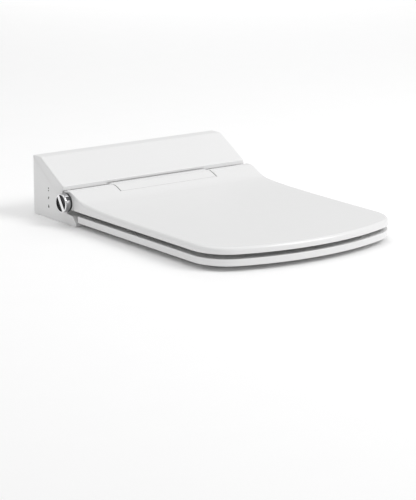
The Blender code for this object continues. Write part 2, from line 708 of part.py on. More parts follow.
def make_valve():
    rod("flow_valve", (-0.1777, KNOB_Y, KNOB_Z), (-0.1606, KNOB_Y, KNOB_Z), 0.0044, dark_plastic(),
        sides=24, bevel=0.0005)


# ---------------------------------------------------------------- nozzle
def along_nozzle(distance):
    """A point on the nozzle's axis, measured back from its mouth into the casing."""
    return NOZZLE_FRONT + Vector((0.0, math.cos(NOZZLE_TILT), math.sin(NOZZLE_TILT))) * distance


def make_nozzle():
    guide = tube("nozzle_guide", along_nozzle(0.018), along_nozzle(0.066), 0.0090, SLEEVE_R + 0.0004,
                 grey_plastic(), sides=28)
    foot = box("nozzle_guide_foot", (-0.0100, -0.0560, 0.0066), (0.0100, -0.0460, 0.0140), grey_plastic())
    weld(guide, foot)
    sleeve = tube("nozzle_sleeve", along_nozzle(0.0), along_nozzle(SLEEVE_LEN), SLEEVE_R, SLEEVE_BORE_R,
                  white_gloss(), sides=28)
    cut(guide, rod("guide_rebore", along_nozzle(0.005), along_nozzle(0.08), SLEEVE_R + 0.0004,
                   grey_plastic(), sides=28))
    wand = rod("nozzle_wand", along_nozzle(-0.0015), along_nozzle(WAND_LEN), WAND_R, white_gloss(),
               sides=24, bevel=0.0012)
    for obj in (sleeve, wand):
        set_origin(obj, NOZZLE_FRONT)
    box("nozzle_motor", (0.0125, -0.0700, 0.0066), (0.0400, -0.0420, 0.0340), dark_plastic(), bevel=0.001)


# ---------------------------------------------------------------- pieces inside the casing
def make_inside():
    box("water_heater", (-0.1300, -0.0800, 0.0066), (-0.0450, -0.0300, 0.0500), grey_plastic(), bevel=0.003)
    box("water_pump", (-0.0380, -0.0760, 0.0066), (-0.0150, -0.0300, 0.0360), dark_plastic(), bevel=0.002)
    box("inlet_valve", (-0.1560, -0.0560, 0.0100), (-0.1330, -0.0300, 0.0380), dark_plastic(), bevel=0.0015)
    box("control_board", (0.0480, -0.0780, 0.0070), (0.1300, -0.0240, 0.0088), board_green())
    box("power_supply", (0.0500, -0.0700, 0.0120), (0.1000, -0.0300, 0.0400), grey_plastic(), bevel=0.002)
    box("fan_housing", (0.1060, -0.0700, 0.0120), (0.1500, -0.0300, 0.0480), dark_plastic(), bevel=0.003)
    box("panel_board", (-0.1770, -0.0600, 0.0140), (-0.1755, -0.0360, 0.0560), board_green())
    tank_hose()
    inlet = rod("inlet_fitting", (INLET_X, -0.0005, INLET_Z), (INLET_X, -0.0296, INLET_Z), 0.0100,
                steel(), sides=24, bevel=0.0006)
    cut(inlet, rod("inlet_mouth", (INLET_X, 0.01, INLET_Z), (INLET_X, -0.0140, INLET_Z), 0.0065,
                   grey_plastic(), sides=20))
    gland = rod("power_gland", (POWER_X, -0.0005, POWER_Z), (POWER_X, -0.0180, POWER_Z), 0.0064,
                dark_plastic(), sides=20, bevel=0.0006)
    cut(gland, rod("gland_mouth", (POWER_X, 0.01, POWER_Z), (POWER_X, -0.0120, POWER_Z), 0.0036,
                   grey_plastic(), sides=16))


def tank_hose():
    """A short hose from the heater over the pump to the nozzle guide."""
    curve = bpy.data.curves.new("wash_hose", "CURVE")
    curve.dimensions = "3D"
    curve.bevel_depth = 0.0035
    curve.bevel_resolution = 2
    curve.use_fill_caps = True
    spline = curve.splines.new("POLY")
    points = []
    for k in range(15):
        t = k / 14
        angle = math.pi * t
        points.append((-0.060 + 0.053 * t, -0.0255 + 0.0110 * math.sin(angle),
                       0.0440 + 0.0120 * math.sin(angle)))
    spline.points.add(len(points) - 1)
    for point, co in zip(spline.points, points):
        point.co = (*co, 1.0)
    curve.materials.append(rubber())
    hose = bpy.data.objects.new("wash_hose", curve)
    bpy.context.scene.collection.objects.link(hose)
    return hose


def make_icons():
    """Three light guides in the left side of the casing."""
    for number, z in enumerate(ICON_HEIGHTS, start=1):
        rod("panel_light_%d" % number, (-HALF_WIDTH, ICON_Y, z), (-0.1774, ICON_Y, z), 0.0018,
            icon_grey(), sides=14)


def make_release_button():
    """The quick-release button: pressing it frees the seat from its mounting plate."""
    button = box("release_button", (0.1760, BUTTON_Y - 0.0080, BUTTON_Z - 0.0045),
                 (0.1856, BUTTON_Y + 0.0080, BUTTON_Z + 0.0045), white_gloss(), bevel=0.0006)
    return set_origin(button, (HALF_WIDTH, BUTTON_Y, BUTTON_Z))


# ---------------------------------------------------------------- the assembly
make_rear_cover()
make_base_tray()
make_mounting_plate()
make_screws()
make_hinge_pins()
make_dampers()
make_lid()
make_hinge_cover()
make_lid_bumpers()
make_ring_upper()
make_ring_lower()
make_seat_heater()
make_ring_bumpers()
make_knob()
make_valve()
make_nozzle()
make_inside()
make_icons()
make_release_button()
for piece in bpy.data.objects:
    piece.location.y -= BOLT_Y
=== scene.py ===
"""Looks of the electric bidet seat: fine shells, a chromed knob and moulded-plastic finishes.

Every shape is drawn in metres with the flat back of the casing at y = 0 and the bowl rim at z = 0.
`put` then moves it by BACK_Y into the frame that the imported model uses.
"""
import json
import math

import bmesh
import bpy
from mathutils import Matrix, Vector


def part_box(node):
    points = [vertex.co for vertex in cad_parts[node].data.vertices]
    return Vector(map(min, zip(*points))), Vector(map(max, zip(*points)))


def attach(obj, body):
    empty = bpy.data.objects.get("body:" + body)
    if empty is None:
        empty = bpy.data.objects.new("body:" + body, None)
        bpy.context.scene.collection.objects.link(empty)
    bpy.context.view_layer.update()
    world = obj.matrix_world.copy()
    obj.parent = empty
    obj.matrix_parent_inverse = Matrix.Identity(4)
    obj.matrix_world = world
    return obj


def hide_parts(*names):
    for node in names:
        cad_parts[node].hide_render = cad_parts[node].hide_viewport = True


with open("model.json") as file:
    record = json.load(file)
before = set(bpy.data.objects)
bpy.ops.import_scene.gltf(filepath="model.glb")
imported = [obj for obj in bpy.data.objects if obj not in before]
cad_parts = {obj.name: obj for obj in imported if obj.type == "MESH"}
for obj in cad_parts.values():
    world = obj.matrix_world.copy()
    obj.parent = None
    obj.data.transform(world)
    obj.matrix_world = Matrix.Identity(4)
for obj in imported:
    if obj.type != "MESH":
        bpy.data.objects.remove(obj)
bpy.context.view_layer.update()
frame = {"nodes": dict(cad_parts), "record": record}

# ---------------------------------------------------------------- sizes read from the frame
CASE_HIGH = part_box("rear_cover")[1]
LID_LOW, LID_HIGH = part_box("lid_shell")
KNOB_LOW, KNOB_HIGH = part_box("control_knob")
PIN_LOW, PIN_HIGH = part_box("hinge_pin_left")
BACK_Y = CASE_HIGH.y                      # flat back of the casing
HALF_WIDTH = CASE_HIGH.x
CASE_HEIGHT = CASE_HIGH.z
FRONT_Y = LID_LOW.y - BACK_Y              # foremost point of the lid
HINGE_Y = (PIN_LOW.y + PIN_HIGH.y) / 2 - BACK_Y
HINGE_Z = (PIN_LOW.z + PIN_HIGH.z) / 2
PIN_R = (PIN_HIGH.z - PIN_LOW.z) / 2
KNOB_Y = (KNOB_LOW.y + KNOB_HIGH.y) / 2 - BACK_Y
KNOB_Z = (KNOB_LOW.z + KNOB_HIGH.z) / 2
KNOB_R = (KNOB_HIGH.z - KNOB_LOW.z) / 2
KNOB_FACE_X = KNOB_LOW.x
LID_REAR_Y = LID_HIGH.y - BACK_Y
LID_STRIP_Z = LID_HIGH.z

# ---------------------------------------------------------------- sizes of the design
WALL = 0.003
CASE_TOP_DEPTH = 0.0245                   # level top of the casing, back to front
LIP_Y, LIP_Z = -0.0931, 0.0566            # front edge of the lip over the hinge bay
LIP_TOP_Z = 0.0612                        # where the slope meets the upright face of the lip
LIP_GROOVE_REACH = 0.0019                 # how far the groove over the cover reaches into the lip
HINGE_BAY_R = 0.0133                      # the round bay that the lid's rear edge turns in
BAY_END_DEG = 164
BAY_X = HALF_WIDTH - 0.025                # the cheeks stand outside this
BAY_WALL_Y = -0.0968
KNUCKLE_R = 0.0052                        # lugs and arms round the hinge axis
CHEEK_EYE_R = 0.0050
CHEEK_FRONT_Y = -0.1218
CHEEK_BOTTOM_Z = 0.0262
CHEEK_GAP = 0.0010                        # between a cheek and the lid's skin
FOOT_FRONT_Y = -0.1300
REAR_STEP_IN, REAR_STEP_DEPTH = 0.0012, 0.0036   # the step down the casing's rear side edges

LID_BOTTOM_Z = 0.0264
LID_FLAT_Z = 0.0370                       # what the concave sweep runs out to
LID_STRIP = 0.018                         # depth of the strip along the rear edge
LID_STRIP_FALL = 0.0028                   # the strip drops this much to its rear edge
LID_SWEEP, LID_SWEEP_RUN = 0.012, 0.052   # height of the sweep, and how quickly it runs out
LID_SHOULDER_RUN = 0.026
LID_WALL_REAR_Y = -0.1225                 # the lid's wall is full height in front of this
LID_EDGE_TIGHT, LID_EDGE_FULL = 0.0010, 0.0060   # rounding at the strip, and along the sides
LUG_NEAR_X, LUG_FAR_X = 0.1340, 0.1465
COVER_HALF = 0.0965
COVER_FRONT_Y, COVER_REAR_Y = -0.1315, -0.0960
COVER_DEPTH = 0.0014
COVER_SLOT = 0.0021                       # the dark slot at each end of the cover

SIDE_START_Y, SIDE_END_Y = -0.16, -0.445  # the sides draw in between these
SIDE_DRAW = 0.0015
BOW_R = 0.410                             # the bowed front edge
CORNER_R = 0.066

RING_REAR_Y = -0.131
RING_BOTTOM_Z, RING_TOP_Z = 0.0082, 0.0190
RING_EDGE_R = 0.0010                      # rounding of the ring's outer edge
RING_INNER_R = 0.0095                     # and of the edge round its opening
HOLE_CENTRE_Y = -0.312
HOLE_HALF_LENGTH, HOLE_HALF_WIDTH = 0.143, 0.106
ARM_NEAR_X, ARM_FAR_X = 0.1475, 0.1590
NOTCH_HALF = 0.012                        # the notch in the ring's rear bar, for the nozzle
NOTCH_FRONT_Y, NOTCH_REAR_Y = -0.152, -0.124

NOZZLE_TILT = math.radians(12)
NOZZLE_MOUTH = Vector((0.0, -0.0945, 0.0125))


# ---------------------------------------------------------------- materials
def noise(nodes, links, scale, detail, source):
    """A noise texture read in object space, in turns per metre."""
    tex = nodes.new("ShaderNodeTexNoise")
    tex.inputs["Scale"].default_value = scale
    tex.inputs["Detail"].default_value = detail
    links.new(source, tex.inputs["Vector"])
    return tex.outputs["Fac"]


def spread(nodes, links, factor, low, high):
    """Maps the middle of a noise to the range low..high."""
    node = nodes.new("ShaderNodeMapRange")
    node.inputs["From Min"].default_value = 0.3
    node.inputs["From Max"].default_value = 0.7
    node.inputs["To Min"].default_value = low
    node.inputs["To Max"].default_value = high
    links.new(factor, node.inputs["Value"])
    return node.outputs["Result"]


def finish(name, colour, rough, metal=0.0, coat=0.0, tint=0.02, rough_spread=0.04,
           grain=900.0, grain_depth=0.00002, stretch=(1, 1, 1)):
    """A moulded or metal finish: faint tone drift, uneven gloss and a fine surface grain."""
    mat = bpy.data.materials.new(name)
    mat.use_nodes = True
    nodes, links = mat.node_tree.nodes, mat.node_tree.links
    shader = nodes["Principled BSDF"]
    shader.inputs["Metallic"].default_value = metal
    shader.inputs["Coat Weight"].default_value = coat
    shader.inputs["Coat Roughness"].default_value = 0.06
    coords = nodes.new("ShaderNodeTexCoord").outputs["Object"]
    mapping = nodes.new("ShaderNodeMapping")
    mapping.inputs["Scale"].default_value = stretch
    links.new(coords, mapping.inputs["Vector"])
    source = mapping.outputs["Vector"]
    drift = spread(nodes, links, noise(nodes, links, 14.0, 3.0, source), 0.0, 1.0)
    mix = nodes.new("ShaderNodeMix")
    mix.data_type = "RGBA"
    mix.inputs["A"].default_value = (*[c * (1 - tint) for c in colour], 1)
    mix.inputs["B"].default_value = (*[min(1.0, c * (1 + tint)) for c in colour], 1)
    links.new(drift, mix.inputs["Factor"])
    links.new(mix.outputs["Result"], shader.inputs["Base Color"])
    gloss = spread(nodes, links, noise(nodes, links, 60.0, 4.0, source),
                   max(0.02, rough - rough_spread), rough + rough_spread)
    links.new(gloss, shader.inputs["Roughness"])
    bump = nodes.new("ShaderNodeBump")
    bump.inputs["Strength"].default_value = 0.25
    bump.inputs["Distance"].default_value = grain_depth
    links.new(noise(nodes, links, grain, 2.0, source), bump.inputs["Height"])
    links.new(bump.outputs["Normal"], shader.inputs["Normal"])
    return mat


EVEN = {"tint": 0.003, "rough_spread": 0.006, "grain_depth": 0.000001}   # large polished surfaces
FINISHES = {
    "white_casing": finish("casing_white", (0.80, 0.80, 0.80), 0.30, coat=0.15, **EVEN),
    "white_lid": finish("lid_white", (0.80, 0.80, 0.80), 0.26, coat=0.2, **EVEN),
    "white_ring": finish("ring_white", (0.81, 0.81, 0.81), 0.26, coat=0.2, **EVEN),
    "white_nozzle": finish("nozzle_white", (0.80, 0.80, 0.79), 0.22, coat=0.3, tint=0.01),
    "grey_plastic": finish("grey_moulding", (0.42, 0.43, 0.44), 0.5, tint=0.05, grain=1600.0,
                           grain_depth=0.00006),
    "dark_plastic": finish("dark_moulding", (0.035, 0.036, 0.04), 0.42, tint=0.1, grain=1800.0,
                           grain_depth=0.00006),
    "steel": finish("turned_steel", (0.56, 0.56, 0.57), 0.28, metal=1.0, tint=0.06, grain=500.0,
                    grain_depth=0.00003, stretch=(1, 6, 6)),
    "circuit_board": finish("solder_mask", (0.02, 0.13, 0.06), 0.4, coat=0.3, tint=0.2),
    "panel_light": finish("light_guide", (0.02, 0.021, 0.022), 0.4, tint=0.1),
    "soft_rubber": finish("pale_rubber", (0.60, 0.60, 0.59), 0.7, tint=0.04, grain=1400.0,
                          grain_depth=0.00008),
    "heating_foil": finish("copper_foil", (0.62, 0.33, 0.19), 0.35, metal=0.9, tint=0.08),
    "chrome_knob": finish("knob_chrome", (0.86, 0.86, 0.87), 0.06, metal=1.0, tint=0.01,
                          rough_spread=0.02, grain=300.0, grain_depth=0.00001),
}
GRIP_FINISH = finish("knob_grip_metal", (0.44, 0.44, 0.45), 0.34, metal=1.0, tint=0.08,
                     grain=700.0, stretch=(4, 1, 1))
# painted shade: a darker metal that darkens the hollows of the knob's scoops
SCOOP_PAINTED_SHADE_FINISH = finish("knob_scoop_painted_shade_metal", (0.24, 0.24, 0.245), 0.20, metal=1.0, tint=0.05)

for row in frame["record"]["subparts"]:
    cad_node = frame["nodes"][row["node"]]
    cad_node.data.materials.clear()
    cad_node.data.materials.append(FINISHES[row["material_slot"]])


# ---------------------------------------------------------------- modelling helpers
def put(name, bm, body, slot, stands_for=(), sharp_deg=40.0, mat=None):
    """Turns a bmesh in the drawing frame into a piece that rides on a body."""
    bmesh.ops.remove_doubles(bm, verts=bm.verts, dist=1e-6)
    bmesh.ops.recalc_face_normals(bm, faces=bm.faces)
    bm.transform(Matrix.Translation((0.0, BACK_Y, 0.0)))
    mesh = bpy.data.meshes.new(name)
    bm.to_mesh(mesh)
    bm.free()
    mesh.shade_smooth()
    mesh.set_sharp_from_angle(angle=math.radians(sharp_deg))
    mesh.materials.append(mat or FINISHES[slot])
    obj = bpy.data.objects.new(name, mesh)
    bpy.context.scene.collection.objects.link(obj)
    even = obj.modifiers.new("even_normals", "WEIGHTED_NORMAL")
    even.keep_sharp = True
    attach(obj, body)
    if stands_for:
        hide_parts(*stands_for)
    return obj


def scratch(bm):
    """A temporary object in the drawing frame, for a Boolean."""
    bmesh.ops.recalc_face_normals(bm, faces=bm.faces)
    mesh = bpy.data.meshes.new("scratch")
    bm.to_mesh(mesh)
    bm.free()
    obj = bpy.data.objects.new("scratch", mesh)
    bpy.context.scene.collection.objects.link(obj)
    return obj


def carve(bm, steps):
    """Runs Boolean steps, each an operation name and a tool bmesh, and returns the new bmesh."""
    target = scratch(bm)
    tools = []
    for operation, tool in steps:
        helper = scratch(tool)
        mod = target.modifiers.new("step", "BOOLEAN")
        mod.operation = operation
        mod.solver = "EXACT"
        mod.object = helper
        tools.append(helper)
    bpy.context.view_layer.update()
    baked = target.evaluated_get(bpy.context.evaluated_depsgraph_get()).to_mesh()
    result = bmesh.new()
    result.from_mesh(baked)
    for helper in [target, *tools]:
        bpy.data.objects.remove(helper, do_unlink=True)
    return result


def cut(tool):
    return ("DIFFERENCE", tool)


def add(tool):
    return ("UNION", tool)


def skin(bm, loops, closed=False):
    """Quads between neighbouring loops of vertices."""
    pairs = list(zip(loops, loops[1:]))
    if closed:
        pairs.append((loops[-1], loops[0]))
    for first, second in pairs:
        count = len(first)
        for i in range(count):
            j = (i + 1) % count
            bm.faces.new((first[i], first[j], second[j], second[i]))


def capped_skin(bm, loops):
    """Quads between neighbouring loops, and a face on the first loop and on the last."""
    skin(bm, loops)
    bm.faces.new(loops[0])
    bm.faces.new(loops[-1])


def fillet(points, radii, steps=6):
    """A closed polygon with its corners rounded; a radius of 0 keeps the corner."""
    done = []
    count = len(points)
    for i, radius in enumerate(radii):
        here = Vector(points[i])
        if radius <= 0.0:
            done.append(here)
            continue
        to_last = (Vector(points[i - 1]) - here).normalized()
        to_next = (Vector(points[(i + 1) % count]) - here).normalized()
        half = to_last.angle(to_next) / 2
        reach = radius / math.tan(half)
        centre = here + (to_last + to_next).normalized() * radius / math.sin(half)
        first, last = here + to_last * reach - centre, here + to_next * reach - centre
        sweep = first.angle_signed(last)
        for k in range(steps + 1):
            done.append(centre + Matrix.Rotation(-sweep * k / steps, 2) @ first)
    return done


def offset(loop, distance):
    """A closed 2-D loop moved inwards by one distance, or by a list with one for each point."""
    count = len(loop)
    amounts = distance if isinstance(distance, list) else [distance] * count
    moved = []
    for i in range(count):
        before = (loop[i] - loop[i - 1]).normalized()
        after = (loop[(i + 1) % count] - loop[i]).normalized()
        normal_a = Vector((before.y, -before.x))
        normal_b = Vector((after.y, -after.x))
        mitre = (normal_a + normal_b).normalized()
        moved.append(loop[i] + mitre * amounts[i] / max(0.5, mitre.dot(normal_a)))
    return moved


def signed_area(loop):
    return sum(loop[i - 1].x * loop[i].y - loop[i].x * loop[i - 1].y for i in range(len(loop))) / 2


def slab_x(profile, x0, x1, edge=0.0, steps=4):
    """A (y, z) profile extruded along X with rounded ends; the edge may depend on the point."""
    loop = [Vector(p) for p in profile]
    if signed_area(loop) > 0:
        loop.reverse()
    bm = bmesh.new()
    sizes = [edge(p) if callable(edge) else edge for p in loop]
    turns = [math.pi / 2 * k / steps for k in range(steps + 1)] if edge else [math.pi / 2]
    ends = []
    for x, inward in ((x0, 1), (x1, -1)):
        rows = []
        for turn in turns:
            shape = offset(loop, [size * (1 - math.sin(turn)) for size in sizes])
            rows.append([bm.verts.new((x + inward * size * (1 - math.cos(turn)), q.x, q.y))
                         for size, q in zip(sizes, shape)])
        ends.append(rows)
    capped_skin(bm, ends[0] + ends[1][::-1])
    return bm


def block(low, high, bevel=0.0, segments=3):
    """A box between two corners with rounded edges."""
    low, high = Vector(low), Vector(high)
    bm = bmesh.new()
    bmesh.ops.create_cube(bm, size=1.0)
    for vert in bm.verts:
        vert.co = Vector([low[i] + (vert.co[i] + 0.5) * (high[i] - low[i]) for i in range(3)])
    if bevel:
        bmesh.ops.bevel(bm, geom=bm.edges, offset=bevel, segments=segments, affect="EDGES")
    return bm


def turned(profile, start, direction, sides=64, ripple=None):
    """A lathe piece: (distance along the axis, radius) points turned about an axis.

    A closed profile, whose last point is its first, makes a ring with a bore; ripple(angle, index)
    changes the radius of a point.
    """
    bm = bmesh.new()
    ring_shaped = profile[0] == profile[-1]
    points = profile[:-1] if ring_shaped else profile
    loops = []
    for index, (along, radius) in enumerate(points):
        if radius <= 0.0:
            loops.append([bm.verts.new((0, 0, along))])
            continue
        loop = []
        for k in range(sides):
            angle = 2 * math.pi * k / sides
            r = radius + (ripple(angle, index) if ripple else 0.0)
            loop.append(bm.verts.new((r * math.cos(angle), r * math.sin(angle), along)))
        loops.append(loop)
    pairs = list(zip(loops, loops[1:]))
    if ring_shaped:
        pairs.append((loops[-1], loops[0]))
    for first, second in pairs:
        for i in range(sides):
            j = (i + 1) % sides
            corners = [first[i % len(first)], first[j % len(first)],
                       second[j % len(second)], second[i % len(second)]]
            unique = [v for n, v in enumerate(corners) if v not in corners[:n]]
            if len(unique) > 2:
                bm.faces.new(unique)
    turn = Vector(direction).to_track_quat("Z", "Y").to_matrix().to_4x4()
    bm.transform(Matrix.Translation(Vector(start)) @ turn)
    return bm


def arc(cy, cz, radius, start_deg, end_deg, steps):
    """Points on a circle in the YZ plane; 0 degrees is up and 90 is towards the back."""
    points = []
    for k in range(steps + 1):
        angle = math.radians(start_deg + (end_deg - start_deg) * k / steps)
        points.append((cy + radius * math.sin(angle), cz + radius * math.cos(angle)))
    return points


def bore(radius, depth, start, direction, sides):
    """A plain round cutter from a point along a direction."""
    return turned([(0, 0), (0, radius), (depth, radius), (depth, 0)], start, direction, sides=sides)


def pin_bore(side):
    return bore(PIN_R + 0.0003, 0.0545, (side * 0.120, HINGE_Y, HINGE_Z), (side, 0, 0), 32)


def rear_end(node):
    """Radius and centre of the rear end of a round CAD piece that lies along Y."""
    low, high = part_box(node)
    return (high.x - low.x) / 2, Vector(((low.x + high.x) / 2, high.y - BACK_Y, (low.z + high.z) / 2))


# ---------------------------------------------------------------- plan outline of lid and ring
def plan_half(rear_y, inset, rear_corner):
    """Right-hand half of the outline, from the rear centre round to the front centre."""
    width = HALF_WIDTH - inset
    bow_centre = Vector((0.0, FRONT_Y + inset + BOW_R))
    lean = math.atan2(SIDE_DRAW, SIDE_START_Y - SIDE_END_Y)
    foot = Vector((width, SIDE_START_Y))
    inward = Vector((-math.cos(lean), math.sin(lean)))
    along = Vector((-math.sin(lean), -math.cos(lean)))
    base = foot + inward * CORNER_R - bow_centre
    b = base.dot(along)
    travel = -b + math.sqrt(b * b - base.length_squared + (BOW_R - CORNER_R) ** 2)
    centre = foot + inward * CORNER_R + along * travel
    side_end = centre - inward * CORNER_R

    points = [Vector((0.0, rear_y))]
    for k in range(7):
        turn = math.pi / 2 * k / 6
        points.append(Vector((width - rear_corner * (1 - math.sin(turn)),
                              rear_y - rear_corner * (1 - math.cos(turn)))))
    start = rear_y - rear_corner
    rows = max(2, round((start - SIDE_START_Y) / 0.0012))
    points += [Vector((width, start + (SIDE_START_Y - start) * k / rows)) for k in range(1, rows + 1)]
    points += [foot.lerp(side_end, k / 48) for k in range(1, 48)]
    first = math.atan2(side_end.y - centre.y, side_end.x - centre.x)
    out = centre - bow_centre
    last = math.atan2(out.y, out.x)
    for k in range(33):
        angle = first + (last - first) * k / 32
        points.append(centre + CORNER_R * Vector((math.cos(angle), math.sin(angle))))
    for k in range(1, 25):
        angle = last + (-math.pi / 2 - last) * k / 24
        points.append(bow_centre + BOW_R * Vector((math.cos(angle), math.sin(angle))))
    points[-1].x = 0.0
    return points


def plan(rear_y, inset=0.0, rear_corner=0.002):
    """The whole outline; its first point is the rear centre."""
    half = plan_half(rear_y, inset, rear_corner)
    return half + [Vector((-p.x, p.y)) for p in reversed(half[1:-1])]


def resample(loop, count):
    """Evenly spaced points along a closed loop, starting at its first point."""
    lengths = [0.0]
    for i in range(len(loop)):
        lengths.append(lengths[-1] + (loop[(i + 1) % len(loop)] - loop[i]).length)
    points = []
    seg = 0
    for k in range(count):
        want = lengths[-1] * k / count
        while lengths[seg + 1] < want:
            seg += 1
        part = (want - lengths[seg]) / (lengths[seg + 1] - lengths[seg])
        points.append(loop[seg].lerp(loop[(seg + 1) % len(loop)], part))
    return points


# ---------------------------------------------------------------- lid
def ease(t):
    t = min(1.0, max(0.0, t))
    return t * t * (3 - 2 * t)


def lid_top(y, fall=LID_STRIP_FALL):
    """Height of the lid's top: a strip falling to the rear, a shoulder, then a concave sweep."""
    s = LID_REAR_Y - y - LID_STRIP
    if s <= 0.0:
        return LID_STRIP_Z - fall * (-s / LID_STRIP) ** 3
    shoulder = LID_STRIP_Z - LID_FLAT_Z - LID_SWEEP
    return (LID_FLAT_Z + shoulder * math.exp(-(s / LID_SHOULDER_RUN) ** 2)
            + LID_SWEEP * math.exp(-s / LID_SWEEP_RUN))


def lid_low(y):
    """Lower edge of the lid's wall; the strip over the cheeks is only a skin."""
    behind = max(0.0, (y - HINGE_Y) / (LID_REAR_Y - HINGE_Y))
    skin_z = lid_top(y, 0.0) - WALL - 0.0005 - 0.0010 * behind ** 2
    return skin_z + (LID_BOTTOM_Z - skin_z) * ease((LID_WALL_REAR_Y + 0.0002 - y) / 0.0012)


def lid_round(y):
    """Rounding of the lid's upper edge: tight at the strip, full along the sides."""
    share = ease((LID_WALL_REAR_Y + 0.006 - y) / 0.045)
    return LID_EDGE_TIGHT + (LID_EDGE_FULL - LID_EDGE_TIGHT) * share


def close_across(bm, loop):
    """Closes a left-right symmetrical loop, which starts at its rear right, with quads across."""
    for i in range(len(loop) // 2):
        corners = [loop[i], loop[i + 1], loop[-2 - i], loop[-1 - i]]
        unique = [v for n, v in enumerate(corners) if v not in corners[:n]]
        if len(unique) > 2:
            bm.faces.new(unique)


def lid_prism(x0, x1, y0, y1, depth, rows=20):
    """A prism whose floor follows the lid's top, without the strip's fall, at a depth."""
    ys = [y0 + (y1 - y0) * k / rows for k in range(rows + 1)]
    profile = [(y, lid_top(y, 0.0) - depth) for y in ys]
    profile += [(y1, LID_STRIP_Z + 0.01), (y0, LID_STRIP_Z + 0.01)]
    return slab_x(profile, x0, x1)


def lug(x0, x1, top):
    """A lug round the hinge axis that reaches up into the lid's skin."""
    profile = [(HINGE_Y + KNUCKLE_R, top), (HINGE_Y - KNUCKLE_R, top)]
    profile += arc(HINGE_Y, HINGE_Z, KNUCKLE_R, -90, -270, 24)
    return slab_x(profile, min(x0, x1), max(x0, x1), edge=0.0005)


def make_lid():
    """The lid: a thin panel with a wall all round, its lugs, and the pocket for the hinge cover."""
    outline = plan(LID_REAR_Y)[1:]
    bm = bmesh.new()

    def row(inset, height):
        """A row of vertices: the outline moved in, kept clear of the sides and the rear, and lifted."""
        depths = [inset(p) if callable(inset) else inset for p in outline]
        placed = []
        for moved, depth in zip(offset(outline, depths), depths):
            x = max(-HALF_WIDTH + depth, min(HALF_WIDTH - depth, moved.x))
            y = min(LID_REAR_Y - depth, moved.y)
            placed.append(bm.verts.new((x, y, height(y))))
        return placed

    lip = 0.0004
    loops = [row(lip, lid_low),
             row(lip * 0.3, lambda y: lid_low(y) + lip * 0.3),
             row(0.0, lambda y: lid_low(y) + lip)]
    for k in range(10):
        turn = math.pi / 2 * k / 9
        loops.append(row(lambda p, c=math.cos(turn): lid_round(p.y) * (1 - c),
                         lambda y, s=math.sin(turn): lid_top(y) - lid_round(y) * (1 - s)))
    loops.append(row(lambda p: lid_round(p.y) + 0.002, lid_top))
    under = [row(WALL, lid_low),
             row(WALL, lambda y: max(lid_low(y) + 0.0002, lid_top(y) - WALL - 0.003)),
             row(WALL + 0.0009, lambda y: max(lid_low(y) + 0.0003, lid_top(y) - WALL - 0.0009)),
             row(WALL + 0.003, lambda y: max(lid_low(y) + 0.0004, lid_top(y) - WALL))]
    skin(bm, loops)
    skin(bm, under)
    skin(bm, [loops[0], under[0]])
    close_across(bm, loops[-1])
    close_across(bm, under[-1])
    bmesh.ops.remove_doubles(bm, verts=bm.verts, dist=1e-6)
    lug_top = LID_STRIP_Z - 0.0027
    steps = [add(lug(side * LUG_NEAR_X, side * LUG_FAR_X, lug_top)) for side in (-1, 1)]
    pocket_half = COVER_HALF + COVER_SLOT
    steps.append(cut(lid_prism(-pocket_half, pocket_half, COVER_FRONT_Y - 0.0006,
                               LID_REAR_Y + 0.002, COVER_DEPTH + 0.0003)))
    for side in (-1, 1):
        low, high = sorted((side * (COVER_HALF + 0.0001), side * (pocket_half - 0.0001)))
        steps.append(cut(block((low, COVER_FRONT_Y - 0.0001, 0.045), (high, -0.1060, 0.07))))
        steps.append(cut(pin_bore(side)))
    put("lid_panel", carve(bm, steps), "lid", "white_lid", ["lid_shell"], sharp_deg=32)


def make_hinge_cover():
    """The cover over the middle of the lid's rear strip: flush in front, level behind."""
    rows = 26
    ys = [COVER_FRONT_Y + (COVER_REAR_Y - COVER_FRONT_Y) * k / rows for k in range(rows + 1)]
    over = [(y, lid_top(y, 0.0)) for y in ys]
    under = [(y, lid_top(y, 0.0) - COVER_DEPTH) for y in reversed(ys)]
    bm = slab_x(over + under, -COVER_HALF, COVER_HALF, edge=0.0003, steps=3)
    put("hinge_cover_strip", bm, "lid", "white_lid", ["hinge_cover"], sharp_deg=50)


# ---------------------------------------------------------------- seat ring
RING_COUNT = 320


def ring_outer(inset):
    """The ring's outer outline, moved inwards."""
    loop = plan(RING_REAR_Y, inset=0.0005, rear_corner=0.006)
    return offset(resample(loop, RING_COUNT), inset)


def ring_hole(grow):
    """The egg-shaped opening, a superellipse drawn in a little towards the rear."""
    loop = []
    fine = RING_COUNT * 4
    for k in range(fine):
        angle = math.pi / 2 - 2 * math.pi * k / fine
        c, s = math.cos(angle), math.sin(angle)
        x = math.copysign(abs(c) ** (2 / 2.35), c) * (HOLE_HALF_WIDTH + grow)
        y = math.copysign(abs(s) ** (2 / 2.2), s) * (HOLE_HALF_LENGTH + grow)
        loop.append(Vector((x * (1.0 - 0.10 * ease(s)), HOLE_CENTRE_Y + y)))
    return resample(loop, RING_COUNT)


def level(bm, loop, height):
    return [bm.verts.new((p.x, p.y, height)) for p in loop]


def blended(share):
    """A loop part of the way from the ring's outer outline to its opening."""
    return [a.lerp(b, share) for a, b in zip(ring_outer(0.0), ring_hole(0.0))]


def ring_arm(side):
    """An arm from the ring's rear bar up to the hinge pin."""
    profile = arc(HINGE_Y, HINGE_Z, KNUCKLE_R, -45, 135, 16)
    profile += [(-0.1330, 0.0120), (-0.1420, 0.0120), (-0.1420, RING_TOP_Z), (-0.1290, 0.0330)]
    low, high = sorted((side * ARM_NEAR_X, side * ARM_FAR_X))
    return slab_x(profile, low, high, edge=0.0006)


